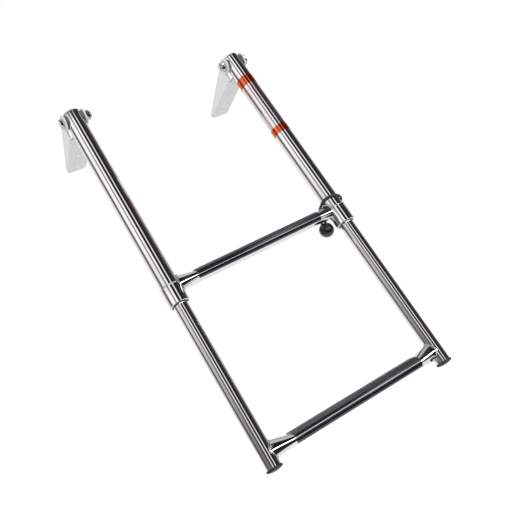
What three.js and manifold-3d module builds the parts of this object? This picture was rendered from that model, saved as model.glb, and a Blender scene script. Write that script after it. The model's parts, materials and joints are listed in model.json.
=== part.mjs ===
// Over-platform telescoping boarding ladder: two screw-down channel brackets, an upper frame
// that hinges on them, and a lower frame that slides up inside the upper tubes.
// Millimetres, +Z up. X runs across the ladder, +Y points inboard over the platform, and the
// origin is on the mounting plane, straight below the middle of the pivot axis.
import * as THREE from "three";
import { mergeVertices } from "three/addons/utils/BufferGeometryUtils.js";
import Module from "manifold-3d";

// ---- Driving dimensions ---------------------------------------------------------------------
const TUBE_SPACING = 324; // centre to centre of the two side tubes
const PIVOT_HEIGHT = 25; // pivot axis above the mounting plane
const LEAN_DEG = 8.7; // the tubes lean this far outboard of vertical
const GAP = 0.3; // clearance between neighbouring pieces
const HOLE_CLEARANCE = 0.4; // on the radius of a bolt hole

const OUTER_TUBE = { radius: 16, wall: 1.5, top: 14.5, topWall: 3, length: 377.6 };
const INNER_TUBE = { radius: 12, wall: 1.5, top: 288, bottom: 652 };
const COLLAR = { radius: 17.6, top: 346, bottom: 379.5, lip: 1.6 };
const GUIDE_BUSH = { top: 318.4, bottom: 381.6 };
const SLIDER_BUSH = { top: 287, bottom: 318 };

const MIDDLE_RUNG_DROP = 348; // pivot axis to rung axis, along the tubes
const BOTTOM_RUNG_DROP = 631;
const RUNG_WALL = 1.5;
const RUNG_END = { halfDepth: 11.2, halfHeight: 13.8 }; // across and along the side tubes
const RUNG_FLAT = { halfWidth: 18.6, halfHeight: 9, drop: 2.6, halfLength: 118, taper: 32 };
const RUNG_POWER = { top: 3, bottom: 2.2 }; // of the flattened outline: 2 is an ellipse
const TREAD = { length: 236, thickness: 1.8, ribs: 9, ribHeight: 0.5, ribZone: 13, skirt: 0.59 };

const SHEET = 2.5; // bracket sheet
const EAR_GAP = 1.2; // between the tube and each ear
const BRACKET = { start: 9, end: 161, earRadius: 14.5, endHeight: 7, corner: 5 };
const TUBE_COPE = 1; // clearance between the tube and the floor of the channel
const RELIEF_SLOT = { radius: 2, end: 17 }; // beside each fold, from the channel's front edge
const BRACKET_HOLES = [98, 145]; // from the pivot axis, along the plate
const BRACKET_HOLE_RADIUS = 3.4;
const COUNTERSINK_RADIUS = 6.2;

const BOLT_RADIUS = 5;
const BOLT_HEAD = { flats: 17, height: 6.4 };
const NUT = { flats: 17, height: 7.6, domeHeight: 1.6 };
const SADDLE = { radius: 12, skin: 0.6 };
const SLEEVE = { radius: 7.6, halfLength: 12 };

const FOOT = { flange: 13.3, flangeHeight: 3.2, crown: 2.8, plug: 14 };
const RIVET = { radius: 2.4, length: 4.2, drop: 300 };

const LABEL = { top: 41.5, bottom: 177.5, upperBand: 19, lowerBand: 14.5, skin: 0.4 };
const BALL = { radius: 13, inset: 28.5, drop: 370, back: 17.5 };
const CORD_RADIUS = 2.2;

// ---- Derived --------------------------------------------------------------------------------
const HALF_SPACING = TUBE_SPACING / 2;
const BORE = OUTER_TUBE.radius - OUTER_TUBE.wall;
const EAR_INSIDE = OUTER_TUBE.radius + EAR_GAP;
const EAR_OUTSIDE = EAR_INSIDE + SHEET;
const LEAN = THREE.MathUtils.degToRad(LEAN_DEG);
const HOLE_RADIUS = BOLT_RADIUS + HOLE_CLEARANCE;

// ---- Materials ------------------------------------------------------------------------------
const finish = (color, roughness, metalness) => () =>
  new THREE.MeshStandardMaterial({ color, roughness, metalness });
const polished = finish(0xd6d8da, 0.08, 1);
const satin = finish(0xc9cccb, 0.45, 0.6);
const zincBright = finish(0xb9bcc0, 0.22, 1);
const blackPlastic = finish(0x26262b, 0.42, 0);
const blackGloss = finish(0x141416, 0.15, 0);
const greyNylon = finish(0x4a4b4f, 0.5, 0);
const blackCord = finish(0x1b1b1d, 0.7, 0);
const clearFilm = finish(0xe9ecee, 0.1, 0);
const orangeFilm = finish(0xe0562a, 0.2, 0);

// ---- Solids ---------------------------------------------------------------------------------
const wasm = await Module();
wasm.setup();

// A closed geometry as a solid that can be cut and joined.
function solid(geometry) {
  const bare = geometry.clone();
  bare.deleteAttribute("normal");
  bare.deleteAttribute("uv");
  const merged = mergeVertices(bare, 1e-4);
  const mesh = new wasm.Mesh({
    numProp: 3,
    vertProperties: new Float32Array(merged.attributes.position.array),
    triVerts: new Uint32Array(merged.index.array),
  });
  return new wasm.Manifold(mesh);
}

// A solid back as a geometry with flat faces.
function geometryOf(body) {
  const mesh = body.getMesh();
  const positions = new Float32Array(mesh.numVert * 3);
  for (let i = 0; i < mesh.numVert; i++) {
    positions.set(mesh.vertProperties.subarray(i * mesh.numProp, i * mesh.numProp + 3), i * 3);
  }
  const geometry = new THREE.BufferGeometry();
  geometry.setAttribute("position", new THREE.BufferAttribute(positions, 3));
  geometry.setIndex(new THREE.BufferAttribute(new Uint32Array(mesh.triVerts), 1));
  geometry.computeVertexNormals();
  return geometry;
}

// A body of revolution about Z. The profile is a closed loop of [radius, z] pairs.
function turned(profile, segments = 24) {
  const points = profile.map(([r, z]) => new THREE.Vector2(r, z));
  if (profile[0][0] > 0 || profile[profile.length - 1][0] > 0) points.push(points[0].clone());
  return new THREE.LatheGeometry(points, segments).rotateX(Math.PI / 2);
}

// The corner points of a rounded edge, in a [radius, z] profile.
function roundedEdge(centreR, centreZ, radius, fromDeg, toDeg, steps = 4) {
  const points = [];
  for (let i = 0; i <= steps; i++) {
    const angle = THREE.MathUtils.degToRad(fromDeg + ((toDeg - fromDeg) * i) / steps);
    points.push([centreR + radius * Math.cos(angle), centreZ + radius * Math.sin(angle)]);
  }
  return points;
}

// A straight ring or rod along Z.
function sleeve(inner, outer, low, high, segments = 24) {
  return turned([[inner, low], [outer, low], [outer, high], [inner, high]], segments);
}

function rodX(radius, fromX, toX, segments = 20) {
  const rod = new THREE.CylinderGeometry(radius, radius, toX - fromX, segments);
  return rod.rotateZ(-Math.PI / 2).translate((fromX + toX) / 2, 0, 0);
}

// A closed outline in the Y-Z plane, extruded along X from fromX to toX.
function extrudedX(shape, fromX, toX, curveSegments = 8) {
  const options = { depth: toX - fromX, bevelEnabled: false, curveSegments };
  const geometry = new THREE.ExtrudeGeometry(shape, options);
  return geometry.rotateX(Math.PI / 2).rotateZ(Math.PI / 2).translate(fromX, 0, 0);
}

const group = new THREE.Group();
const ladder = new THREE.Group(); // pivot axis at its origin, tubes running down its -Z
ladder.position.z = PIVOT_HEIGHT;
ladder.rotation.x = -LEAN;
group.add(ladder);

function add(parent, name, geometry, material, position = [0, 0, 0]) {
  const mesh = new THREE.Mesh(geometry, material());
  mesh.name = name;
  mesh.position.set(...position);
  parent.add(mesh);
  return mesh;
}

// ---- Brackets, pivot bolts and nuts ---------------------------------------------------------
// Side outline of a flange with its ear: x is distance inboard of the pivot, y is height.
function flangeOutline() {
  const { start, end, earRadius, endHeight, corner } = BRACKET;
  const topAngle = Math.atan2(PIVOT_HEIGHT + earRadius * 0.95 - endHeight, end);
  const shape = new THREE.Shape();
  shape.moveTo(start, 0);
  shape.lineTo(end, 0);
  shape.lineTo(end, endHeight - corner * 0.6);
  shape.quadraticCurveTo(end, endHeight, end - corner, endHeight + corner * Math.tan(topAngle));
  shape.absarc(0, PIVOT_HEIGHT, earRadius, Math.PI / 2 - topAngle, Math.PI * 1.72, false);
  shape.lineTo(start, SHEET * 2);
  return shape;
}

// The folded channel: an outer block with rounded folds, less its inside, cut to the outline.
function bracketGeometry() {
  const { start, end, corner } = BRACKET;
  const section = new THREE.Shape();
  const top = PIVOT_HEIGHT + BRACKET.earRadius + 1;
  const fold = SHEET + 1;
  section.moveTo(-EAR_OUTSIDE + fold, 0);
  section.lineTo(EAR_OUTSIDE - fold, 0);
  section.absarc(EAR_OUTSIDE - fold, fold, fold, -Math.PI / 2, 0, false);
  section.lineTo(EAR_OUTSIDE, top);
  section.lineTo(EAR_INSIDE, top);
  section.lineTo(EAR_INSIDE, fold);
  section.absarc(EAR_INSIDE - 1, fold, 1, 0, -Math.PI / 2, true);
  section.lineTo(-EAR_INSIDE + 1, SHEET);
  section.absarc(-EAR_INSIDE + 1, fold, 1, -Math.PI / 2, -Math.PI, true);
  section.lineTo(-EAR_INSIDE, top);
  section.lineTo(-EAR_OUTSIDE, top);
  section.lineTo(-EAR_OUTSIDE, fold);
  section.absarc(-EAR_OUTSIDE + fold, fold, fold, Math.PI, Math.PI * 1.5, false);
  const reach = BRACKET.earRadius + 2;
  const options = { depth: end + reach + 2, bevelEnabled: false, curveSegments: 4 };
  const channel = new THREE.ExtrudeGeometry(section, options);
  channel.rotateX(Math.PI / 2).translate(0, end + 2, 0);
  let body = solid(channel);
  body = body.intersect(solid(extrudedX(flangeOutline(), -EAR_OUTSIDE - 1, EAR_OUTSIDE + 1, 10)));
  // The floor of the channel is coped round the tube, and slotted beside each fold.
  const front = new THREE.BoxGeometry(EAR_INSIDE * 2, 60, 30);
  body = body.subtract(solid(front.translate(0, start - 30, 0)));
  const cope = sleeve(0, OUTER_TUBE.radius + TUBE_COPE, -60, 0, 28).rotateX(-LEAN);
  body = body.subtract(solid(cope.translate(0, 0, PIVOT_HEIGHT)));
  for (const side of [-1, 1]) {
    const { radius, end: slotEnd } = RELIEF_SLOT;
    const x = side * (EAR_INSIDE - radius);
    const slot = new THREE.BoxGeometry(radius * 2, slotEnd, 2 * SHEET + 0.1);
    body = body.subtract(solid(slot.translate(x, slotEnd / 2, SHEET / 2)));
    const slotRound = sleeve(0, radius, -1, SHEET + 1, 16).translate(x, slotEnd, 0);
    body = body.subtract(solid(slotRound));
  }
  body = body.subtract(solid(rodX(HOLE_RADIUS, -40, 40).translate(0, 0, PIVOT_HEIGHT)));
  for (const y of BRACKET_HOLES) {
    const countersink = [
      [0, -1],
      [BRACKET_HOLE_RADIUS, -1],
      [BRACKET_HOLE_RADIUS, 0.6],
      [COUNTERSINK_RADIUS, SHEET + 0.1],
      [COUNTERSINK_RADIUS, SHEET + 2],
      [0, SHEET + 2],
    ];
    body = body.subtract(solid(turned(countersink, 16).translate(0, y, 0)));
  }
  for (const side of [-1, 1]) {
    const clip = new THREE.BoxGeometry(corner * 2, corner * 2, 4 * SHEET);
    clip.rotateZ(Math.PI / 4).translate(side * (EAR_OUTSIDE + 1.4), end + 1.4, 0);
    body = body.subtract(solid(clip));
  }
  return geometryOf(body);
}

// Hex head, shank and a turned end, along +X from the head.
function boltGeometry(length) {
  const hexRadius = BOLT_HEAD.flats / Math.sqrt(3);
  const head = new THREE.CylinderGeometry(hexRadius, hexRadius, BOLT_HEAD.height, 6);
  head.rotateZ(-Math.PI / 2).translate(-BOLT_HEAD.height / 2, 0, 0);
  const { flats, height } = BOLT_HEAD;
  const round = [[0, 1], [flats / 2, 1], [hexRadius + 0.2, -height + 1.6]];
  round.push([flats / 2 - 0.3, -height], [0, -height]);
  const crown = turned(round.reverse(), 18).rotateY(Math.PI / 2);
  const shank = turned([[0, 0], [5, 0], [5, length - 1], [4, length], [0, length]], 18);
  return geometryOf(solid(head).intersect(solid(crown)).add(solid(shank.rotateY(Math.PI / 2))));
}

function nutGeometry() {
  const hexRadius = NUT.flats / Math.sqrt(3);
  const hex = new THREE.CylinderGeometry(hexRadius, hexRadius, NUT.height, 6);
  hex.rotateZ(-Math.PI / 2).translate(NUT.height / 2, 0, 0);
  const collar = rodX(NUT.flats / 2 - 1, NUT.height - 0.5, NUT.height + NUT.domeHeight);
  const bore = rodX(BOLT_RADIUS + 0.06, -1, NUT.height + NUT.domeHeight + 1);
  return geometryOf(solid(hex).add(solid(collar)).subtract(solid(bore)));
}

for (const [side, name] of [[-1, "left"], [1, "right"]]) {
  const x = side * HALF_SPACING;
  add(group, `${name}_bracket`, bracketGeometry(), satin, [x, 0, 0]);
  const boltLength = 2 * EAR_OUTSIDE + GAP + NUT.height + NUT.domeHeight + 2;
  const bolt = add(group, `${name}_pivot_bolt`, boltGeometry(boltLength), zincBright);
  bolt.position.set(x + side * (EAR_OUTSIDE + GAP), 0, PIVOT_HEIGHT);
  bolt.rotation.y = side > 0 ? Math.PI : 0;
  const nut = add(group, `${name}_lock_nut`, nutGeometry(), zincBright);
  nut.position.set(x - side * (EAR_OUTSIDE + GAP), 0, PIVOT_HEIGHT);
  nut.rotation.y = side > 0 ? Math.PI : 0;
}

// ---- Upper frame ----------------------------------------------------------------------------
function outerTubeGeometry() {
  const { radius, top, topWall, length } = OUTER_TUBE;
  const edge = 4.5;
  const profile = [
    [0, top - topWall],
    [BORE - 1, top - topWall],
    [BORE, top - topWall - 1],
    [BORE, -length],
    [radius, -length],
    ...roundedEdge(radius - edge, top - edge, edge, 0, 90, 5),
    [0, top],
  ];
  return geometryOf(solid(turned(profile, 28)).subtract(solid(rodX(HOLE_RADIUS, -20, 20))));
}

// The collar hugs the bottom of the outer tube, and its lip closes over the tube's end.
function collarGeometry() {
  const { radius, top, bottom, lip } = COLLAR;
  const inside = OUTER_TUBE.radius + GAP;
  const profile = [
    [inside, -top],
    [inside, -bottom + lip],
    [BORE, -bottom + lip],
    [BORE, -bottom],
    [radius - 0.6, -bottom],
    [radius, -bottom + 0.6],
    [radius, -top - 0.6],
    [radius - 0.6, -top],
  ];
  return turned(profile, 28);
}

// A washer, flat against the ear and hollowed to the tube. Its axis is X.
function saddleGeometry(side) {
  const flat = side * (EAR_INSIDE - GAP);
  const inner = side * (OUTER_TUBE.radius - 6);
  const disc = rodX(SADDLE.radius, Math.min(flat, inner), Math.max(flat, inner), 20);
  const tube = sleeve(0, OUTER_TUBE.radius + GAP, -30, 30, 28);
  const hole = rodX(HOLE_RADIUS, -30, 30);
  return geometryOf(solid(disc).subtract(solid(tube)).subtract(solid(hole)));
}

// A point of the rung's flattened outline, grown outward by `grow`, in its own level frame.
function flatOutline(angle, grow) {
  const power = 2 / (Math.sin(angle) < 0 ? RUNG_POWER.bottom : RUNG_POWER.top);
  const swell = (value) => Math.sign(value) * Math.abs(value) ** power;
  return [
    (RUNG_FLAT.halfWidth + grow) * swell(Math.cos(angle)),
    (RUNG_FLAT.halfHeight + grow) * swell(Math.sin(angle)) - RUNG_FLAT.drop,
  ];
}

// A point of the rung's outline at a distance x from its middle, in the ladder's frame: level and
// flattened under the tread, an ellipse that stands along the side tubes at the ends.
function rungSection(x, angle, shrink) {
  const blend = THREE.MathUtils.clamp((x - RUNG_FLAT.halfLength) / RUNG_FLAT.taper, 0, 1);
  const [flatY, flatZ] = flatOutline(angle, -shrink);
  const levelY = flatY * Math.cos(LEAN) - flatZ * Math.sin(LEAN);
  const levelZ = flatY * Math.sin(LEAN) + flatZ * Math.cos(LEAN);
  const endY = (RUNG_END.halfDepth - shrink) * Math.cos(angle + LEAN);
  const endZ = (RUNG_END.halfHeight - shrink) * Math.sin(angle + LEAN);
  return [
    THREE.MathUtils.lerp(levelY, endY, blend),
    THREE.MathUtils.lerp(levelZ, endZ, blend),
  ];
}

// The rung as a rod whose rings follow that outline.
function rungGeometry(shrink, endX) {
  const segments = 28;
  const rings = 10;
  const half = rings / 2;
  const geometry = new THREE.CylinderGeometry(1, 1, 2, segments, rings);
  geometry.rotateZ(-Math.PI / 2);
  const position = geometry.attributes.position;
  const stations = [endX];
  for (let i = half - 2; i >= 0; i--) {
    stations.push(RUNG_FLAT.halfLength + (RUNG_FLAT.taper * i) / (half - 2));
  }
  for (let i = 0; i < position.count; i++) {
    const ring = Math.round((position.getX(i) + 1) * half);
    const fromEnd = Math.min(ring, rings - ring);
    const x = Math.sign(ring - half) * (fromEnd < half ? stations[fromEnd] : 0);
    const radial = Math.hypot(position.getY(i), position.getZ(i));
    const angle = Math.atan2(position.getZ(i), position.getY(i));
    const [y, z] = rungSection(Math.abs(x), angle, shrink);
    position.setXYZ(i, x, y * radial, z * radial);
  }
  return geometry;
}

// A hollow rung between two tubes, coped round whatever stands at its ends.
function copedRung(drop, coping) {
  const endX = HALF_SPACING - 4.5;
  let body = solid(rungGeometry(0, endX)).subtract(solid(rungGeometry(RUNG_WALL, endX + 2)));
  body = body.translate([0, 0, -drop]);
  for (const side of [-1, 1]) {
    for (const [radius, low, high] of coping) {
      const post = sleeve(0, radius + GAP, -low, -high, 28).translate(side * HALF_SPACING, 0, 0);
      body = body.subtract(solid(post));
    }
  }
  return geometryOf(body);
}

// The clip-on tread: follows the flattened rung over the top and down both noses.
function treadGeometry() {
  const { length, thickness, ribs, ribHeight, ribZone, skirt } = TREAD;
  const reach = GAP + thickness;
  const low = -Math.asin(skirt);
  const steps = 14;
  const inner = [];
  const outer = [];
  for (let i = 0; i <= steps; i++) {
    const angle = low + ((Math.PI / 2 - low) * i) / steps;
    inner.push(flatOutline(angle, GAP));
    const point = flatOutline(angle, reach);
    if (point[0] > ribZone + 0.5) outer.push(point);
  }
  inner.pop();
  const mirror = ([y, z]) => [-y, z];
  const innerLoop = [...inner, ...inner.slice().reverse().map(mirror)];
  const topAt = (y) => {
    const share = Math.abs(y) / (RUNG_FLAT.halfWidth + reach);
    const rise = (1 - share ** RUNG_POWER.top) ** (1 / RUNG_POWER.top);
    return (RUNG_FLAT.halfHeight + reach) * rise - RUNG_FLAT.drop;
  };
  const ribPitch = (2 * ribZone) / ribs;
  const ribRow = [];
  for (let i = 0; i < ribs; i++) {
    const middle = ribZone - ribPitch * (i + 0.5);
    for (const [offset, lift] of [[0.25, 0], [0.17, ribHeight], [-0.17, ribHeight], [-0.25, 0]]) {
      const y = middle + offset * ribPitch;
      ribRow.push([y, topAt(y) + lift]);
    }
  }
  const outerLoop = [...outer, ...ribRow, ...outer.slice().reverse().map(mirror)];
  const outline = [...outerLoop, ...innerLoop.reverse()];
  const shape = new THREE.Shape(outline.map(([y, z]) => new THREE.Vector2(y, z)));
  return extrudedX(shape, -length / 2, length / 2);
}

for (const [side, name] of [[-1, "left"], [1, "right"]]) {
  const x = side * HALF_SPACING;
  add(ladder, `${name}_outer_tube`, outerTubeGeometry(), polished, [x, 0, 0]);
  add(ladder, `${name}_collar`, collarGeometry(), polished, [x, 0, 0]);
  const sleeveBody = solid(rodX(SLEEVE.radius, -SLEEVE.halfLength, SLEEVE.halfLength));
  const pivotSleeve = sleeveBody.subtract(solid(rodX(HOLE_RADIUS, -20, 20)));
  add(ladder, `${name}_pivot_sleeve`, geometryOf(pivotSleeve), greyNylon, [x, 0, 0]);
  add(ladder, `${name}_outboard_saddle`, saddleGeometry(side), greyNylon, [x, 0, 0]);
  add(ladder, `${name}_inboard_saddle`, saddleGeometry(-side), greyNylon, [x, 0, 0]);
  const guide = sleeve(
    INNER_TUBE.radius + GAP,
    BORE - GAP,
    -GUIDE_BUSH.bottom,
    -GUIDE_BUSH.top,
  );
  add(ladder, `${name}_guide_bush`, guide, blackPlastic, [x, 0, 0]);
}

const collarCope = [
  [OUTER_TUBE.radius, MIDDLE_RUNG_DROP + 40, MIDDLE_RUNG_DROP - 40],
  [COLLAR.radius, COLLAR.bottom + 1, COLLAR.top - GAP],
];
add(ladder, "middle_rung", copedRung(MIDDLE_RUNG_DROP, collarCope), polished);
const middleTread = add(ladder, "middle_tread", treadGeometry(), blackPlastic);
middleTread.position.z = -MIDDLE_RUNG_DROP;
middleTread.rotation.x = LEAN;

// Instruction film round the right tube: a clear sleeve between two coloured bands.
const filmRadius = OUTER_TUBE.radius + GAP;
function filmSleeve(top, bottom) {
  return sleeve(filmRadius, filmRadius + LABEL.skin, -bottom, -top, 28);
}
const bandA = LABEL.top + LABEL.upperBand;
const bandB = LABEL.bottom - LABEL.lowerBand;
const filmAt = [HALF_SPACING, 0, 0];
add(ladder, "label_upper_band", filmSleeve(LABEL.top, bandA), orangeFilm, filmAt);
add(ladder, "label_clear_film", filmSleeve(bandA + GAP, bandB - GAP), clearFilm, filmAt);
add(ladder, "label_lower_band", filmSleeve(bandB, LABEL.bottom), orangeFilm, filmAt);

// Retaining cord: from the ball, up behind the rung, once round the tube, and back to the ball.
const ballCentre = new THREE.Vector3(HALF_SPACING - BALL.inset, BALL.back, -BALL.drop);
function cordCurve() {
  const points = [];
  const wrap = OUTER_TUBE.radius + CORD_RADIUS + 0.7;
  const start = new THREE.Vector3(-2.6, 1.5, 13.1).setLength(BALL.radius + 1.3);
  points.push(ballCentre.clone().add(start));
  points.push(new THREE.Vector3(HALF_SPACING - 25, 20.2, -348));
  points.push(new THREE.Vector3(HALF_SPACING - 22.5, 14.5, -335.5));
  const turns = 9;
  for (let i = 0; i <= turns; i++) {
    const angle = Math.PI + ((Math.PI * 1.36) * i) / turns;
    const drop = 334.5 + 4 * Math.cos(angle) + 4.5 * Math.sin(angle);
    const x = HALF_SPACING + wrap * Math.cos(angle);
    points.push(new THREE.Vector3(x, wrap * Math.sin(angle), -drop));
  }
  points.push(new THREE.Vector3(HALF_SPACING - 8, 22.5, -343.5));
  const end = new THREE.Vector3(6, 5.5, 10).setLength(BALL.radius + 1.3);
  points.push(ballCentre.clone().add(end));
  return new THREE.CatmullRomCurve3(points, false, "centripetal");
}
const cordSection = new THREE.Shape();
cordSection.absarc(0, 0, CORD_RADIUS, 0, Math.PI * 2, false);
const cord = new THREE.ExtrudeGeometry(cordSection, {
  steps: 44,
  curveSegments: 4,
  extrudePath: cordCurve(),
});
add(ladder, "retaining_cord", cord, blackCord);
const ball = new THREE.SphereGeometry(BALL.radius, 18, 12);
add(ladder, "cord_ball", ball, blackGloss, ballCentre.toArray());

// ---- Lower frame ----------------------------------------------------------------------------
function innerTubeGeometry() {
  const { radius, wall, top, bottom } = INNER_TUBE;
  const tube = sleeve(radius - wall, radius, -bottom, -top);
  const pinHole = rodX(RIVET.radius + 0.2, 0, 20).translate(0, 0, -RIVET.drop);
  return geometryOf(solid(tube).subtract(solid(pinHole)));
}

function sliderBushGeometry() {
  const ring = sleeve(INNER_TUBE.radius + GAP, BORE - GAP, -SLIDER_BUSH.bottom, -SLIDER_BUSH.top);
  const pinHole = rodX(RIVET.radius + 0.2, 0, 20).translate(0, 0, -RIVET.drop);
  return geometryOf(solid(ring).subtract(solid(pinHole)));
}

function footGeometry() {
  const { flange, flangeHeight, crown, plug } = FOOT;
  const plugRadius = INNER_TUBE.radius - INNER_TUBE.wall - GAP;
  const profile = [
    [0, -flangeHeight - crown],
    [flange * 0.55, -flangeHeight - crown * 0.72],
    [flange - 1, -flangeHeight],
    [flange, -flangeHeight + 0.8],
    [flange, -0.4],
    [flange - 0.4, 0],
    [plugRadius, 0],
    [plugRadius, plug - 1],
    [plugRadius - 1, plug],
    [0, plug],
  ];
  return turned(profile, 24);
}

for (const [side, name] of [[-1, "left"], [1, "right"]]) {
  const x = side * HALF_SPACING;
  add(ladder, `${name}_inner_tube`, innerTubeGeometry(), polished, [x, 0, 0]);
  add(ladder, `${name}_slider_bush`, sliderBushGeometry(), blackPlastic, [x, 0, 0]);
  add(ladder, `${name}_foot_cap`, footGeometry(), blackPlastic, [x, 0, -INNER_TUBE.bottom - GAP]);
  const rivet = rodX(RIVET.radius, BORE - 0.5 - RIVET.length, BORE - 0.5, 16);
  add(ladder, `${name}_slider_rivet`, rivet, zincBright, [x, 0, -RIVET.drop]);
}
const innerCope = [[INNER_TUBE.radius, BOTTOM_RUNG_DROP + 40, BOTTOM_RUNG_DROP - 40]];
add(ladder, "bottom_rung", copedRung(BOTTOM_RUNG_DROP, innerCope), polished);
const bottomTread = add(ladder, "bottom_tread", treadGeometry(), blackPlastic);
bottomTread.position.z = -BOTTOM_RUNG_DROP;
bottomTread.rotation.x = LEAN;

export default group;
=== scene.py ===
import json
import math

import bmesh
import bpy
from mathutils import Matrix, Vector


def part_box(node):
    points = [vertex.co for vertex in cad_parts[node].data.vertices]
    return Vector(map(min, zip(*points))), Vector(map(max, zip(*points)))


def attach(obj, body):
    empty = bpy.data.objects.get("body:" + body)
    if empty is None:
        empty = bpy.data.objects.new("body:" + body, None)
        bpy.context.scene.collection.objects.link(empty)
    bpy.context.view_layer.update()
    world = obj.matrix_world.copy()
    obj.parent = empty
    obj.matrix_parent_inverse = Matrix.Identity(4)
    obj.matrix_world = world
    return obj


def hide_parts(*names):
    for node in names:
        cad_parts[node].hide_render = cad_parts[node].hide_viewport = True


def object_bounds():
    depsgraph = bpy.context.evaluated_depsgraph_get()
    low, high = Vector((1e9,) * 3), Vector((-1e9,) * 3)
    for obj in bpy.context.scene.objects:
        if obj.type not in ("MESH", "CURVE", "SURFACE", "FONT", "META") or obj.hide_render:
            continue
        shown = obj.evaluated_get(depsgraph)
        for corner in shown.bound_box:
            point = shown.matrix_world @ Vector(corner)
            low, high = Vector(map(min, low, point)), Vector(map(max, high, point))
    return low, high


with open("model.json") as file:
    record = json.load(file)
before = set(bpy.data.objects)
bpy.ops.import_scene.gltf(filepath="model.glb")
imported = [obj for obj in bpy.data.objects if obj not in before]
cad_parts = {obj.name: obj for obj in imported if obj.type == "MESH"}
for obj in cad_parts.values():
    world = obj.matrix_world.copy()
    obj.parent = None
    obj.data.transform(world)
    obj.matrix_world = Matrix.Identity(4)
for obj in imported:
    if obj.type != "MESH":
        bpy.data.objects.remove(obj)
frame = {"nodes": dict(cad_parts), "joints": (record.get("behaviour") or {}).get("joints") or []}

CAD_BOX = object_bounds()
MM = 0.001
JOINTS = {j["name"]: j for j in frame["joints"]}
PIVOT = Vector(JOINTS["fold_hinge"]["pos_m"])
UP_TUBE = Vector(JOINTS["telescope_slide"]["axis"]).normalized()
LEAN = math.atan2(UP_TUBE.y, UP_TUBE.z)
LADDER = Matrix.Translation(PIVOT) @ Matrix.Rotation(-LEAN, 4, "X") @ Matrix.Scale(MM, 4)
ROW = Matrix.Scale(MM, 4)


def centre_x(node):
    low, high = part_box(node)
    return 1000 * (low.x + high.x) / 2


LEFT_X = centre_x("left_outer_tube")
RIGHT_X = centre_x("right_outer_tube")
SIDES = (("left", -1, LEFT_X), ("right", 1, RIGHT_X))

OUTER_R, BORE_R, TUBE_TOP, OUTER_LENGTH = 16.0, 14.5, 14.5, 377.6
INNER_R, INNER_WALL, INNER_TOP, INNER_BOTTOM = 12.0, 1.5, 288.0, 652.0
COLLAR_R, COLLAR_TOP, COLLAR_BOTTOM = 17.6, 346.0, 379.5
MIDDLE_DROP, BOTTOM_DROP = 348.0, 631.0
END_HALF_DEPTH, END_HALF_HEIGHT = 11.2, 13.8
FLAT_HALF_WIDTH, FLAT_HALF_HEIGHT, FLAT_DROP = 18.6, 9.0, 2.6
TOP_POWER, BOTTOM_POWER = 3.0, 2.2
FLAT_HALF, TAPER = 118.0, 32.0
TREAD_LENGTH, TREAD_SKIN, TREAD_GAP, TREAD_SKIRT = 236.0, 1.8, 0.15, 0.59
SHEET, EAR_INSIDE = 2.5, 17.2
EAR_OUTSIDE = EAR_INSIDE + SHEET
PIVOT_UP = PIVOT.z / MM
PLATE_START, PLATE_END, EAR_R, END_HEIGHT, CORNER = 9.0, 161.0, 14.5, 7.0, 5.0
TUBE_COPE, SLOT_R, SLOT_END = 1.0, 2.0, 17.0
PLATE_HOLES = (98.0, 145.0)
SCREW_HOLE_R, COUNTERSINK_R = 3.4, 6.2
BOLT_R, BOLT_HOLE_R, ACROSS_FLATS, HEAD_HEIGHT, NUT_HEIGHT = 5.0, 5.3, 17.0, 6.4, 7.6
SADDLE_R = 12.0
CORD_R = 2.2
BALL_R = 13.0


# ---- Camera ---------------------------------------------------------------------------------
def make_camera():
    data = bpy.data.cameras.new("camera")
    camera = bpy.data.objects.new("camera", data)
    bpy.context.scene.collection.objects.link(camera)
    heading, climb, roll = math.radians(-21.45), math.radians(11.16), math.radians(28.83)
    aim = Matrix.Rotation(heading, 3, "Z") @ Matrix.Rotation(math.pi / 2 + climb, 3, "X")
    camera.matrix_world = Matrix.Translation((-0.4282, -1.0571, -0.4786)) @ (
        aim @ Matrix.Rotation(-roll, 3, "Z")
    ).to_4x4()
    data.sensor_width = 36
    data.lens = 47.28
    data.shift_x = 0.0612
    data.shift_y = -0.0586
    data.clip_start = 0.02
    bpy.context.scene.camera = camera


make_camera()


# ---- Node materials -------------------------------------------------------------------------
class Graph:
    """A node tree under construction, with short calls for its nodes."""

    def __init__(self, tree):
        self.tree = tree

    def add(self, kind, inputs=None, **settings):
        node = self.tree.nodes.new(kind)
        for key, value in settings.items():
            setattr(node, key, value)
        for key, value in (inputs or {}).items():
            self.put(node.inputs[key], value)
        return node

    def put(self, socket, value):
        if isinstance(value, bpy.types.NodeSocket):
            self.tree.links.new(value, socket)
        else:
            socket.default_value = value

    def blend_colour(self, factor, first, second):
        node = self.add("ShaderNodeMix", data_type="RGBA")
        self.put(node.inputs[0], factor)
        for socket, tone in ((node.inputs[6], first), (node.inputs[7], second)):
            self.put(socket, (*tone, 1) if isinstance(tone, tuple) else tone)
        return node.outputs[2]

    def math(self, operation, first, second=0.0):
        node = self.add("ShaderNodeMath", operation=operation)
        self.put(node.inputs[0], first)
        self.put(node.inputs[1], second)
        return node.outputs[0]

    def remap(self, value, from_low, from_high, low=0.0, high=1.0):
        inputs = {"Value": value, "From Min": from_low, "From Max": from_high}
        inputs.update({"To Min": low, "To Max": high})
        return self.add("ShaderNodeMapRange", inputs).outputs["Result"]


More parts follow.
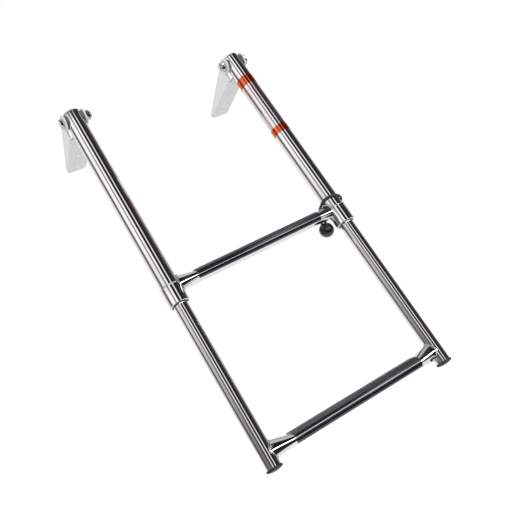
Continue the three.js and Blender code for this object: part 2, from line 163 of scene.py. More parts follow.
class Nodes(Graph):
    """A material under construction, round its own Principled shader."""

    def __init__(self, name):
        self.material = bpy.data.materials.new(name)
        self.material.use_nodes = True
        super().__init__(self.material.node_tree)
        self.shader = self.tree.nodes["Principled BSDF"]
        self.output = self.tree.nodes["Material Output"]

    def place(self, turn=(0, 0, 0), scale=(1, 1, 1)):
        where = self.add("ShaderNodeTexCoord").outputs["Object"]
        node = self.add("ShaderNodeMapping", {"Vector": where, "Rotation": turn, "Scale": scale})
        return node.outputs["Vector"]

    def noise(self, vector, scale, detail=4.0, roughness=0.55):
        inputs = {"Vector": vector, "Scale": scale, "Detail": detail, "Roughness": roughness}
        return self.add("ShaderNodeTexNoise", inputs).outputs["Fac"]

    def span(self, value, low, high, from_low=0.3, from_high=0.7):
        """Spread the middle of a noise over low to high."""
        return self.remap(value, from_low, from_high, low, high)

    def bump(self, height, strength, distance, normal=None):
        inputs = {"Height": height, "Strength": strength, "Distance": distance}
        if normal is not None:
            inputs["Normal"] = normal
        return self.add("ShaderNodeBump", inputs).outputs["Normal"]

    def set(self, **values):
        for key, value in values.items():
            self.put(self.shader.inputs[key.replace("_", " ")], value)
        return self.material

    def see_through(self, tint, cover):
        """Let light through, tinted, but for the share that the film's own surface covers."""
        clear = self.add("ShaderNodeBsdfTransparent", {"Color": (*tint, 1)})
        mix = self.add("ShaderNodeMixShader",
                       {0: cover, 1: clear.outputs[0], 2: self.shader.outputs[0]})
        self.put(self.output.inputs["Surface"], mix.outputs[0])
        return self.material


ALONG_TUBE = (LEAN, 0, 0)


def polished_steel(name, grain, rough=(0.005, 0.03), bright=0.86):
    """Mirror-polished stainless: faint draw lines, smudges and a slightly uneven mirror."""
    n = Nodes(name)
    fine = n.noise(n.place(ALONG_TUBE, grain), 1.0, 3.0)
    smudge = n.noise(n.place(), 22.0, 5.0, 0.6)
    spots = n.noise(n.place(), 160.0, 2.0)
    tone = n.blend_colour(n.span(smudge, 0, 1), (bright, bright, bright + 0.01),
                          (bright - 0.05, bright - 0.055, bright - 0.06))
    worn = n.math("ADD", n.span(smudge, rough[0], rough[1], 0.35, 0.75),
                  n.span(spots, 0.0, 0.015, 0.55, 0.8))
    normal = n.bump(fine, 0.02, 0.00002, n.bump(smudge, 0.02, 0.0005))
    return n.set(Base_Color=tone, Metallic=1.0, Roughness=worn, Normal=normal)


def satin_steel(name):
    """Satin sheet: light grey, fine blasted grain, a few handling marks."""
    n = Nodes(name)
    grain = n.noise(n.place(), 2600.0, 3.0, 0.7)
    cloud = n.noise(n.place(), 26.0, 5.0, 0.6)
    marks = n.noise(n.place((0.4, 0.2, 0.9), (40, 900, 900)), 1.0, 2.0)
    tone = n.blend_colour(n.span(cloud, 0, 1), (0.53, 0.55, 0.535), (0.495, 0.51, 0.505))
    tone = n.blend_colour(n.span(marks, 0, 0.25, 0.66, 0.74), tone, (0.46, 0.46, 0.47))
    rough = n.math("ADD", n.span(cloud, 0.50, 0.58), n.span(grain, -0.02, 0.03))
    normal = n.bump(grain, 0.005, 0.00001, n.bump(cloud, 0.01, 0.0002))
    n.shader.inputs["Specular IOR Level"].default_value = 0.25
    return n.set(Base_Color=tone, Metallic=0.0, Roughness=rough, Normal=normal)


def machined_steel(name):
    """Bright fastener steel with turning marks and a random cloud of darker, duller patches."""
    n = Nodes(name)
    turning = n.noise(n.place((0, 0, 0), (3200, 240, 240)), 1.0, 3.0)
    cloud = n.noise(n.place(), 90.0, 4.0)
    tone = n.blend_colour(n.span(cloud, 0, 1), (0.74, 0.74, 0.75), (0.58, 0.58, 0.58))
    rough = n.span(cloud, 0.08, 0.18)
    normal = n.bump(turning, 0.06, 0.00003)
    return n.set(Base_Color=tone, Metallic=1.0, Roughness=rough, Normal=normal)


def moulded_plastic(name, colour, rough, grain=900.0, grit=0.22, dust=0.05, index=1.5):
    """Moulded black plastic: pebbled grain, slight dust and shine differences."""
    n = Nodes(name)
    pebble = n.noise(n.place(), grain, 2.0, 0.5)
    cloud = n.noise(n.place(), 40.0, 5.0, 0.65)
    fine = n.noise(n.place(), grain * 3, 2.0)
    lighter = tuple(min(1.0, c + dust) for c in colour)
    tone = n.blend_colour(n.span(cloud, 0, 1, 0.45, 0.8), colour, lighter)
    shine = n.math("ADD", n.span(cloud, rough * 0.8, rough * 1.25), n.span(fine, -0.01, 0.02))
    normal = n.bump(pebble, grit, 0.00008)
    material = n.set(Base_Color=tone, Roughness=shine, Normal=normal)
    n.shader.inputs["IOR"].default_value = index
    return material


def braided_cord(name):
    """Woven sleeve on elastic cord: crossing strands that catch a little light."""
    n = Nodes(name)
    weave = n.place((0.0, 0.6, 0.3), (1, 1, 1))
    one = n.add("ShaderNodeTexWave", {"Vector": weave, "Scale": 420.0, "Distortion": 0.4})
    other = n.place((0.0, -0.6, -0.3), (1, 1, 1))
    two = n.add("ShaderNodeTexWave", {"Vector": other, "Scale": 420.0, "Distortion": 0.4})
    both = n.math("MULTIPLY", one.outputs["Fac"], two.outputs["Fac"])
    fuzz = n.noise(n.place(), 1800.0, 3.0)
    # The crossings of the strands are painted lighter: a painted highlight on the raised strands, on
    # top of the real bump and sheen.
    tone = n.blend_colour(both, (0.012, 0.012, 0.013), (0.05, 0.05, 0.052))
    rough = n.span(fuzz, 0.55, 0.8)
    normal = n.bump(both, 0.5, 0.0004, n.bump(fuzz, 0.2, 0.0001))
    material = n.set(Base_Color=tone, Roughness=rough, Normal=normal)
    n.shader.inputs["Sheen Weight"].default_value = 0.25
    return material


def round_tube_coordinates(n, x_mm):
    """(turn about the tube's axis, distance up the tube in metres), as sockets."""
    where = n.add("ShaderNodeTexCoord").outputs["Object"]
    moved = n.add("ShaderNodeVectorMath", {0: where, 1: (x_mm * MM, PIVOT.y, PIVOT.z)},
                  operation="SUBTRACT").outputs[0]
    level = n.add("ShaderNodeVectorRotate",
                  {"Vector": moved, "Axis": (1, 0, 0), "Angle": LEAN}).outputs[0]
    parts = n.add("ShaderNodeSeparateXYZ", {0: level})
    turn = n.math("ARCTAN2", parts.outputs[0], parts.outputs[1])
    return turn, parts.outputs[2]


def tinted_film(name, tint, body, cover):
    """Thin coloured film: tints what is behind it, with its own gloss and faint wrinkles."""
    n = Nodes(name)
    ripple = n.noise(n.place((LEAN, 0, 0), (60, 60, 14)), 1.0, 3.0)
    cloud = n.noise(n.place(), 120.0, 4.0)
    tone = n.blend_colour(n.span(cloud, 0, 1), body, tuple(c * 0.85 for c in body))
    n.set(Base_Color=tone, Roughness=n.span(cloud, 0.1, 0.2), Normal=n.bump(ripple, 0.1, 0.0003))
    return n.see_through(tint, cover)


def printed_film(name, x_mm):
    """Clear film with rows of fine broken lines, which stand for small print."""
    n = Nodes(name)
    turn, up = round_tube_coordinates(n, x_mm)
    rows_per_radian, dashes_per_metre = 9.0, 620.0
    row = n.math("MULTIPLY", turn, rows_per_radian)
    across = n.math("FRACT", row)
    index = n.math("FLOOR", row)
    line = n.math("MULTIPLY", n.math("GREATER_THAN", across, 0.3),
                  n.math("LESS_THAN", across, 0.6))
    along = n.math("MULTIPLY", up, dashes_per_metre)
    seed = n.add("ShaderNodeCombineXYZ", {0: along, 1: n.math("MULTIPLY", index, 7.31), 2: 0.0})
    dashes = n.math("GREATER_THAN", n.noise(seed.outputs[0], 1.0, 1.0), 0.49)
    ink = n.math("MULTIPLY", line, dashes)
    cloud = n.noise(n.place(), 120.0, 4.0)
    red, violet = (0.75, 0.16, 0.08), (0.30, 0.30, 0.42)
    print_tone = n.blend_colour(n.span(turn, 0, 1, -1.9, -1.5), red, violet)
    tone = n.blend_colour(ink, (0.8, 0.8, 0.86), print_tone)
    n.set(Base_Color=tone, Roughness=n.span(cloud, 0.08, 0.16))
    cover = n.math("ADD", n.math("MULTIPLY", ink, 0.10), 0.001)
    return n.see_through((0.985, 0.98, 0.985), cover)


STEEL_TUBE = polished_steel("polished tube", (700, 700, 9))
STEEL_RUNG = polished_steel("polished rung", (9, 700, 700))
STEEL_WELD = polished_steel("polished weld", (300, 300, 300), (0.08, 0.16), 0.78)
SATIN = satin_steel("satin sheet")
FASTENER = machined_steel("fastener steel")
TREAD = moulded_plastic("tread plastic", (0.008, 0.008, 0.014), 0.12, 900.0, 0.006, 0.004, 2.0)
BLACK = moulded_plastic("black plastic", (0.012, 0.012, 0.013), 0.38)
NYLON = moulded_plastic("grey nylon", (0.07, 0.07, 0.075), 0.45)
BALL = moulded_plastic("glossy ball", (0.008, 0.008, 0.009), 0.06, 300.0, 0.004, 0.005, 1.7)
CORD = braided_cord("braided cord")
ORANGE = tinted_film("orange film", (0.98, 0.65, 0.53), (0.9, 0.12, 0.03), 0.015)
CLEAR = printed_film("printed film", RIGHT_X)


# ---- Mesh helpers ---------------------------------------------------------------------------
def finish_mesh(bm, name, to_row=LADDER, smooth=35):
    bmesh.ops.remove_doubles(bm, verts=bm.verts, dist=1e-5)
    bmesh.ops.recalc_face_normals(bm, faces=bm.faces)
    mesh = bpy.data.meshes.new(name)
    bm.to_mesh(mesh)
    bm.free()
    mesh.transform(to_row)
    mesh.shade_smooth()
    mesh.set_sharp_from_angle(angle=math.radians(smooth))
    obj = bpy.data.objects.new(name, mesh)
    bpy.context.scene.collection.objects.link(obj)
    return obj


def place(obj, body, slot, material, *nodes):
    obj.data.materials.clear()
    obj.data.materials.append(material)
    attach(obj, body)
    if nodes:
        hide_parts(*nodes)
    return obj


def circle(count, radius=1.0, offset=0.0):
    """count points (cosine, sine) round a circle. offset turns it by that share of a step."""
    turns = [2 * math.pi * (k + offset) / count for k in range(count)]
    return [(radius * math.cos(turn), radius * math.sin(turn)) for turn in turns]


def grid(bm, rows, closed_along=False):
    """Quads between closed rows of points. A row of one repeated point closes to a tip."""
    made = [[bm.verts.new(p) for p in row] for row in rows]
    count = len(made[0])
    last = len(made) if closed_along else len(made) - 1
    for i in range(last):
        a, b = made[i], made[(i + 1) % len(made)]
        for k in range(count):
            m = (k + 1) % count
            bm.faces.new((a[k], a[m], b[m], b[k]))
    return made


def solid(rows):
    """The bmesh between closed rows of points, with a face over each end."""
    bm = bmesh.new()
    made = grid(bm, rows)
    bm.faces.new(list(reversed(made[0])))
    bm.faces.new(made[-1])
    return bm


def lathe(profile, x=0.0, segments=96, closed=True):
    """A body of revolution about the tube direction, from (radius, height) points."""
    bm = bmesh.new()
    rows = [[(x + a, b, height) for a, b in circle(segments, radius)]
            for radius, height in profile]
    grid(bm, rows, closed_along=closed)
    bmesh.ops.remove_doubles(bm, verts=bm.verts, dist=1e-5)
    return bm


def revolve_x(profile, segments=64, y=0.0, z=0.0):
    """A body of revolution about a line across the ladder, from (x, radius) points."""
    bm = bmesh.new()
    grid(bm, [[(x, y + a, z + b) for a, b in circle(segments, radius)] for x, radius in profile])
    bmesh.ops.remove_doubles(bm, verts=bm.verts, dist=1e-5)
    return bm


def arc(cx, cz, radius, start, end, steps=8):
    points = []
    for i in range(steps + 1):
        angle = math.radians(start + (end - start) * i / steps)
        points.append((cx + radius * math.cos(angle), cz + radius * math.sin(angle)))
    return points


def rod_x(radius, x0, x1, z=0.0):
    """A plain rod across the ladder, to cut with or to start from."""
    return revolve_x([(x0, 0.0), (x0, radius), (x1, radius), (x1, 0.0)], 64, z=z)


def scratch(bm):
    """A temporary object, in millimetres, for cutting with."""
    bmesh.ops.recalc_face_normals(bm, faces=bm.faces)
    mesh = bpy.data.meshes.new("scratch")
    bm.to_mesh(mesh)
    bm.free()
    obj = bpy.data.objects.new("scratch", mesh)
    bpy.context.scene.collection.objects.link(obj)
    return obj


def block(centre, turn, size):
    """A box to cut with, turned about Z."""
    bm = bmesh.new()
    matrix = Matrix.Translation(centre) @ Matrix.Rotation(turn, 4, "Z") @ Matrix.Diagonal((*size, 1))
    bmesh.ops.create_cube(bm, size=1.0, matrix=matrix)
    return scratch(bm)


def carve(base, tools, bevel, limit):
    """base with (operation, tool) pairs applied and edges over limit degrees rounded."""
    for operation, tool in tools:
        cut = base.modifiers.new("cut", "BOOLEAN")
        cut.operation = operation
        cut.object = tool
        cut.solver = "EXACT"
    soft = base.modifiers.new("edge", "BEVEL")
    soft.width = bevel
    soft.segments = 2
    soft.limit_method = "ANGLE"
    soft.angle_limit = math.radians(limit)
    graph = bpy.context.evaluated_depsgraph_get()
    bm = bmesh.new()
    bm.from_mesh(base.evaluated_get(graph).to_mesh())
    for obj in [base] + [tool for _, tool in tools]:
        mesh = obj.data
        bpy.data.objects.remove(obj)
        bpy.data.meshes.remove(mesh)
    return bm


def join(bm, other):
    """Add another bmesh's faces to bm."""
    mesh = bpy.data.meshes.new("join")
    other.to_mesh(mesh)
    other.free()
    bm.from_mesh(mesh)
    bpy.data.meshes.remove(mesh)


def sweep(points, radius, sides=16, closed=False):
    """A round tube along points. radius is a function of the share along it."""
    pts = [Vector(p) for p in points]
    count = len(pts)
    rows = []
    side = None
    for i, p in enumerate(pts):
        before = pts[(i - 1) % count] if closed or i else pts[0]
        after = pts[(i + 1) % count] if closed or i < count - 1 else pts[-1]
        along = (after - before).normalized()
        if side is None:
            side = along.orthogonal().normalized()
        side = (side - along * side.dot(along)).normalized()
        up = along.cross(side)
        rows.append([p + a * side + b * up for a, b in circle(sides, radius(i / count))])
    if not closed:
        return solid(rows)
    bm = bmesh.new()
    grid(bm, rows, closed_along=True)
    return bm


# ---- Side tubes and collars -----------------------------------------------------------------
for side, sign, x in SIDES:
    edge = 4.5
    profile = [(BORE_R, -OUTER_LENGTH), (OUTER_R, -OUTER_LENGTH)]
    profile += [(OUTER_R, -OUTER_LENGTH * (1 - i / 24)) for i in range(1, 24)]
    profile += arc(OUTER_R - edge, TUBE_TOP - edge, edge, 0, 90, 10)
    profile += [(6.0, TUBE_TOP), (0.0, TUBE_TOP), (0.0, TUBE_TOP - 3)]
    profile += [(BORE_R - 1, TUBE_TOP - 3), (BORE_R, TUBE_TOP - 4)]
    tube = finish_mesh(lathe(profile, x), f"tube_upper_{side}")
    place(tube, "upper_ladder", "polished_stainless", STEEL_TUBE, f"{side}_outer_tube")

    round_edge, bead = 0.8, 1.2
    top, bottom = -COLLAR_TOP, -COLLAR_BOTTOM
    profile = [(OUTER_R + 0.05, bottom + 1.6), (BORE_R, bottom + 1.5), (BORE_R, bottom)]
    profile += arc(COLLAR_R - round_edge, bottom + round_edge, round_edge, -90, 0, 5)
    profile += [(COLLAR_R - 0.25, bottom + 2.0), (COLLAR_R - 0.25, top - 2 * bead - 0.3)]
    profile += arc(COLLAR_R - bead, top - bead, bead, -70, 90, 10)
    profile += [(OUTER_R + 0.05, top - 0.2)]
    collar = finish_mesh(lathe(profile, x), f"collar_sleeve_{side}", smooth=50)
    place(collar, "upper_ladder", "polished_stainless", STEEL_TUBE, f"{side}_collar")

    lip = -380.0
    profile = [(INNER_R + 0.15, -318.4), (INNER_R + 0.15, lip + 0.5), (INNER_R + 0.6, lip)]
    profile += arc(BORE_R - 0.9, lip + 0.6, 0.6, -90, 0, 4) + [(BORE_R - 0.3, -318.4)]
    bush = finish_mesh(lathe(profile, x, segments=64), f"bush_guide_{side}")
    place(bush, "upper_ladder", "black_plastic", BLACK, f"{side}_guide_bush")

    profile = [(INNER_R - INNER_WALL, -INNER_BOTTOM), (INNER_R, -INNER_BOTTOM)]
    profile += [(INNER_R, -INNER_BOTTOM + (INNER_BOTTOM - INNER_TOP) * i / 20) for i in range(1, 21)]
    profile += [(INNER_R - INNER_WALL, -INNER_TOP)]
    tube = finish_mesh(lathe(profile, x), f"tube_lower_{side}")
    place(tube, "lower_ladder", "polished_stainless", STEEL_TUBE, f"{side}_inner_tube")

    flange, high = 13.3, 3.2
    base = -INNER_BOTTOM - 0.1
    profile = [(0.0, base - high - 2.7), (5.0, base - high - 2.45), (9.5, base - high - 1.55)]
    profile += arc(flange - 1.1, base - high + 0.5, 1.1, -70, 0, 5)
    profile += arc(flange - 0.6, base - 0.6, 0.6, 0, 90, 4)
    profile += [(INNER_R + 0.3, base), (INNER_R - 1.8, base), (INNER_R - 1.8, base + 13)]
    profile += [(INNER_R - 2.8, base + 14), (0.0, base + 14)]
    foot = finish_mesh(lathe(profile, x, segments=72, closed=False), f"foot_{side}")
    place(foot, "lower_ladder", "black_plastic", BLACK, f"{side}_foot_cap")


# ---- Rungs ----------------------------------------------------------------------------------
def swell(value, power):
    return math.copysign(abs(value) ** power, value)


def flat_outline(angle, grow=0.0):
    """A point of the rung's flattened outline, in its own level frame."""
    power = 2 / (BOTTOM_POWER if math.sin(angle) < 0 else TOP_POWER)
    return ((FLAT_HALF_WIDTH + grow) * swell(math.cos(angle), power),
            (FLAT_HALF_HEIGHT + grow) * swell(math.sin(angle), power) - FLAT_DROP)


def rung_section(x, angle):
    """A point of the rung's outline in the ladder's frame: depth (y) and height (z)."""
    t = min(1.0, max(0.0, (abs(x) - FLAT_HALF) / TAPER))
    blend = t + 0.12 * t * (1 - t) * (2 * t - 1)
    y, z = flat_outline(angle)
    level = (y * math.cos(LEAN) - z * math.sin(LEAN), y * math.sin(LEAN) + z * math.cos(LEAN))
    end = (END_HALF_DEPTH * math.cos(angle + LEAN), END_HALF_HEIGHT * math.sin(angle + LEAN))
    return (level[0] + (end[0] - level[0]) * blend, level[1] + (end[1] - level[1]) * blend)


def rung_ring(count, x):
    """The rung's outline at x, as count (depth, height) points."""
    return [rung_section(x, 2 * math.pi * k / count) for k in range(count)]


def inset(y, post_radius):
    """How far inside the side tube's centre its wall is, at depth y."""
    return math.sqrt(max(0.0, post_radius ** 2 - y * y))


def rung_mesh(drop, post_radius, name):
    around, sunk = 128, 0.4
    stations = [0.0, 40.0, 80.0, 110.0]
    stations += [FLAT_HALF + TAPER * i / 12 for i in range(13)]
    both = [-station for station in reversed(stations[1:])] + stations
    rows = [[(x, y, z - drop) for y, z in rung_ring(around, x)] for x in both]
    left, right = ([(sign * (RIGHT_X - inset(y, post_radius - sunk)), y, z - drop)
                    for y, z in rung_ring(around, FLAT_HALF + TAPER)] for sign in (-1, 1))
    return finish_mesh(solid([left] + rows + [right]), name)


def bead_radius(share):
    """A weld bead's radius, with the small waves of its passes."""
    return 1.35 + 0.12 * math.sin(share * 2 * math.pi * 26)


def weld_bead(drop, post_radius, sign, name, body):
    proud = 1.02
    points = [(sign * (RIGHT_X - inset(y, post_radius)), y * proud, z * proud - drop)
              for y, z in rung_ring(120, FLAT_HALF + TAPER)]
    bead = finish_mesh(sweep(points, bead_radius, 12, closed=True), name, smooth=80)
    place(bead, body, "polished_stainless", STEEL_WELD)


middle = rung_mesh(MIDDLE_DROP, OUTER_R, "rung_middle")
place(middle, "upper_ladder", "polished_stainless", STEEL_RUNG, "middle_rung")
bottom = rung_mesh(BOTTOM_DROP, INNER_R, "rung_bottom")
place(bottom, "lower_ladder", "polished_stainless", STEEL_RUNG, "bottom_rung")
for side, sign, x in SIDES:
    weld_bead(MIDDLE_DROP, COLLAR_R - 0.3, sign, f"weld_middle_{side}", "upper_ladder")
    weld_bead(BOTTOM_DROP, INNER_R, sign, f"weld_bottom_{side}", "lower_ladder")


# ---- Treads ---------------------------------------------------------------------------------
def tread_path():
    """(angle of the outline, outward y, outward z) round the tread, front skirt first."""
    low = -math.asin(TREAD_SKIRT)
    steps = 320
    angles = [math.pi - low - (math.pi - 2 * low) * i / steps for i in range(steps + 1)]
    path = []
    for angle in angles:
        ahead, behind = flat_outline(angle - 0.004), flat_outline(angle + 0.004)
        out = Vector((behind[1] - ahead[1], ahead[0] - behind[0])).normalized()
        path.append((angle, -out.x, out.y))
    return path


def tread_mesh(drop, name):
    path = tread_path()
    spots = [flat_outline(angle, TREAD_GAP) for angle, _, _ in path]
    lengths = [0.0]
    for a, b in zip(spots, spots[1:]):
        lengths.append(lengths[-1] + math.hypot(b[0] - a[0], b[1] - a[1]))
    total = lengths[-1]
    pitch, rib_height, margin = 1.7, 0.42, 17.5

    def rib(s):
        """How far the ribs stand out at a distance round the tread from its front edge."""
        if s < margin or s > total - margin:
            return 0.0
        phase = ((s - margin) / pitch) % 1.0
        return rib_height * max(0.0, math.sin(math.pi * phase)) ** 0.7

    def outline(shrink):
        outer, inner = [], []
        for (angle, ny, nz), s in zip(path, lengths):
            y, z = flat_outline(angle, TREAD_GAP + TREAD_SKIN)
            lift = rib(s) * min(1.0, max(0.0, 2 * nz)) - shrink
            outer.append((y + ny * lift, z + nz * lift))
            inner.append(flat_outline(angle, TREAD_GAP + shrink))
        return outer + inner[::-1]

    tilt = Matrix.Rotation(LEAN, 3, "X")
    half = TREAD_LENGTH / 2
    rows = [[tilt @ Vector((x, y, z)) - Vector((0, 0, drop)) for y, z in outline(shrink)]
            for x, shrink in ((-half, 0.45), (-half + 0.15, 0.15), (-half + 0.5, 0.0), (0.0, 0.0),
                              (half - 0.5, 0.0), (half - 0.15, 0.15), (half, 0.45))]
    bm = bmesh.new()
    made = grid(bm, rows)
    n = len(path)
    for row, flip in ((made[0], True), (made[-1], False)):
        for k in range(n - 1):
            quad = (row[k], row[k + 1], row[2 * n - 2 - k], row[2 * n - 1 - k])
            bm.faces.new(quad[::-1] if flip else quad)
    return finish_mesh(bm, name, smooth=28)


place(tread_mesh(MIDDLE_DROP, "tread_middle"), "upper_ladder", "tread_plastic", TREAD,
      "middle_tread")
place(tread_mesh(BOTTOM_DROP, "tread_bottom"), "lower_ladder", "tread_plastic", TREAD,
      "bottom_tread")


# ---- Brackets -------------------------------------------------------------------------------
def extrude_outline(points, to_point):
    """A solid whose outline is a list of 2-D points; to_point(a, b, end) places each end."""
    return solid([[to_point(a, b, end) for a, b in points] for end in (0, 1)])


def flange_outline():
    slope = math.atan2(PIVOT_UP + EAR_R * 0.95 - END_HEIGHT, PLATE_END)
    points = [(PLATE_START, 0.0), (PLATE_END, 0.0), (PLATE_END, END_HEIGHT - 3.0)]
    start, corner = Vector(points[2]), Vector((PLATE_END, END_HEIGHT))
    end = Vector((PLATE_END - CORNER, END_HEIGHT + CORNER * math.tan(slope)))
    steps = 8
    for t in [i / steps for i in range(1, steps + 1)]:
        points.append(tuple(start.lerp(corner, t).lerp(corner.lerp(end, t), t)))
    points += arc(0.0, PIVOT_UP, EAR_R, 90 - math.degrees(slope), 310, 48)
    points += [(PLATE_START, SHEET * 2)]
    return points


def channel_section():
    fold = SHEET + 1.0
    top = PIVOT_UP + EAR_R + 1
    right = arc(EAR_OUTSIDE - fold, fold, fold, -90, 0, 10)
    right += [(EAR_OUTSIDE, top), (EAR_INSIDE, top)]
    right += arc(EAR_INSIDE - 1, fold, 1.0, 0, -90, 6)
    left = [(-a, b) for a, b in reversed(right)]
    return right + left


def upright(radius, low, high, segments=48, stretch=0.0):
    """A standing rod to cut with. stretch draws its front half out along Y into a slot."""
    return solid([[(a, b + (stretch if b < 0 else 0.0), z)
                   for a, b in circle(segments, radius, 0.5)] for z in (low, high)])


def moved(bm, matrix):
    """The bmesh, moved, as a temporary object to cut with."""
    bm.transform(matrix)
    return scratch(bm)


def bracket_cuts():
    """What the folded channel loses, besides what lies outside its flanges' outline."""
    yield block((0, PLATE_START - 30, 0), 0, (2 * EAR_INSIDE, 60, 30))
    yield scratch(rod_x(BOLT_HOLE_R, -40, 40, PIVOT_UP))
    lean = Matrix.Translation((0, 0, PIVOT_UP)) @ Matrix.Rotation(-LEAN, 4, "X")
    yield moved(upright(OUTER_R + TUBE_COPE, -60, 0, 96), lean)
    for sign in (-1, 1):
        at = Matrix.Translation((sign * (EAR_INSIDE - SLOT_R + 0.02), SLOT_END, 0))
        yield moved(upright(SLOT_R, -1, SHEET + 1, 32, -SLOT_END), at)
    hole = [(0, -1), (SCREW_HOLE_R, -1), (SCREW_HOLE_R, 0.6), (COUNTERSINK_R, SHEET + 0.1),
            (COUNTERSINK_R, 6), (0, 6)]
    for y in PLATE_HOLES:
        yield moved(lathe(hole, segments=48, closed=False), Matrix.Translation((0, y, 0)))
    for sign in (-1, 1):
        corner = (sign * (EAR_OUTSIDE + 1.4), PLATE_END + 1.4, 0)
        yield block(corner, math.pi / 4, (2 * CORNER, 2 * CORNER, 4 * SHEET))


def bracket_mesh(x, name):
    length, width = PLATE_END + EAR_R + 3, 2 * EAR_OUTSIDE + 2
    channel = scratch(extrude_outline(
        channel_section(), lambda a, b, end: (a, PLATE_END + 1 - end * length, b)))
    sides = scratch(extrude_outline(
        flange_outline(), lambda a, b, end: (-EAR_OUTSIDE - 1 + end * width, a, b)))
    tools = [("INTERSECT", sides)] + [("DIFFERENCE", cut) for cut in bracket_cuts()]
    bm = carve(channel, tools, bevel=0.35, limit=32)
    return finish_mesh(bm, name, ROW @ Matrix.Translation((x, 0, 0)), smooth=40)


for side, sign, x in SIDES:
    bracket = bracket_mesh(x, f"bracket_sheet_{side}")
    weighted = bracket.modifiers.new("normals", "WEIGHTED_NORMAL")
    weighted.keep_sharp = True
    weighted.weight = 80
    place(bracket, "brackets", "satin_stainless", SATIN, f"{side}_bracket")


# ---- Pivot bolts, nuts and saddles ----------------------------------------------------------
def hexagon_x(x0, x1):
    """A hexagon bar across the ladder, of the bolts' and nuts' width across flats."""
    start, radius = math.radians(12), ACROSS_FLATS / math.sqrt(3)
    corners = [(radius * math.cos(start + math.pi * k / 3),
                radius * math.sin(start + math.pi * k / 3)) for k in range(6)]
    return extrude_outline(corners, lambda a, b, end: (x0 + (x1 - x0) * end, a, b))


def bolt_mesh(length, name, to_row):
    """Head on the -X side of the origin, threaded shank on the +X side."""
    head = scratch(hexagon_x(-HEAD_HEIGHT, 0.0))
    crown = scratch(revolve_x([(1, 0), (1, 11), (-5.0, 11), (-HEAD_HEIGHT, 8.3),
                               (-HEAD_HEIGHT, 0)]))
    bm = carve(head, [("INTERSECT", crown)], bevel=0.25, limit=25)
    shank = [(-0.2, 0.0), (-0.2, BOLT_R), (length - 15.0, BOLT_R)]
    pitch, root, threads = 1.5, 4.35, 9
    for i in range(threads):
        at = length - 14.5 + i * pitch
        shank += [(at, BOLT_R), (at + pitch * 0.5, root), (at + pitch, BOLT_R)]
    shank += [(length - 0.8, 4.6), (length, 3.9), (length, 0.0)]
    join(bm, revolve_x(shank, 48))
    return finish_mesh(bm, name, to_row, smooth=40)


def nut_mesh(name, to_row):
    """A lock nut on the +X side of the origin, with its insert's collar on the far side."""
    body = scratch(hexagon_x(0.0, NUT_HEIGHT))
    crown = scratch(revolve_x([(-1, 0), (-1, 9.0), (0.0, 9.0), (1.1, 9.95), (6.4, 9.95),
                               (NUT_HEIGHT, 8.4), (8.6, 8.4), (8.6, 0)]))
    hole = scratch(revolve_x([(-2, 0), (-2, 5.03), (12, 5.03), (12, 0)], 48))
    bm = carve(body, [("INTERSECT", crown), ("DIFFERENCE", hole)], bevel=0.25, limit=25)
    collar = [(7.5, 5.05), (7.5, 7.9), (8.6, 7.7), (9.15, 6.9), (9.2, 5.6), (9.0, 5.05),
              (7.5, 5.05)]
    join(bm, revolve_x(collar, 48))
    return finish_mesh(bm, name, to_row, smooth=40)


def saddle_mesh(toward, x, name):
    """A washer between the tube and one ear, hollowed to the tube."""
    x0, x1 = sorted((toward * (EAR_INSIDE - 0.15), toward * (OUTER_R - 6.0)))
    disc = scratch(rod_x(SADDLE_R, x0, x1))
    tube = scratch(solid([[(a, b, z) for a, b in circle(96, OUTER_R + 0.12)] for z in (-30, 30)]))
    hole = scratch(rod_x(BOLT_HOLE_R, -30, 30))
    bm = carve(disc, [("DIFFERENCE", tube), ("DIFFERENCE", hole)], bevel=0.3, limit=40)
    return finish_mesh(bm, name, LADDER @ Matrix.Translation((x, 0, 0)), smooth=40)


for side, sign, x in SIDES:
    out = Matrix.Identity(4) if sign < 0 else Matrix.Rotation(math.pi, 4, "Z")
    reach = EAR_OUTSIDE + 0.05
    at = Matrix.Translation((x + sign * reach, 0, PIVOT_UP))
    bolt = bolt_mesh(2 * reach + NUT_HEIGHT + 1.6 + 2.2, f"bolt_{side}", ROW @ at @ out)
    place(bolt, "brackets", "fastener_steel", FASTENER, f"{side}_pivot_bolt")
    at = Matrix.Translation((x - sign * reach, 0, PIVOT_UP))
    nut = nut_mesh(f"nut_{side}", ROW @ at @ out)
    place(nut, "brackets", "fastener_steel", FASTENER, f"{side}_lock_nut")
    outboard = saddle_mesh(sign, x, f"saddle_outer_{side}")
    place(outboard, "upper_ladder", "grey_nylon", NYLON, f"{side}_outboard_saddle")
    inboard = saddle_mesh(-sign, x, f"saddle_inner_{side}")
    place(inboard, "upper_ladder", "grey_nylon", NYLON, f"{side}_inboard_saddle")


# ---- Retaining cord and ball ----------------------------------------------------------------
BALL_AT = Vector((RIGHT_X - 28.5, 17.5, -370.0))


def spline(points, per_span=8):
    """A smooth line through the points (Catmull-Rom)."""
    pts = [Vector(p) for p in points]
    pts = [pts[0] * 2 - pts[1]] + pts + [pts[-1] * 2 - pts[-2]]
    out = []
    for i in range(1, len(pts) - 2):
        p0, p1, p2, p3 = pts[i - 1], pts[i], pts[i + 1], pts[i + 2]
        for k in range(per_span):
            t = k / per_span
            out.append(0.5 * (2 * p1 + (p2 - p0) * t + (2 * p0 - 5 * p1 + 4 * p2 - p3) * t * t
                              + (3 * p1 - p0 - 3 * p2 + p3) * t ** 3))
    out.append(pts[-2])
    return out


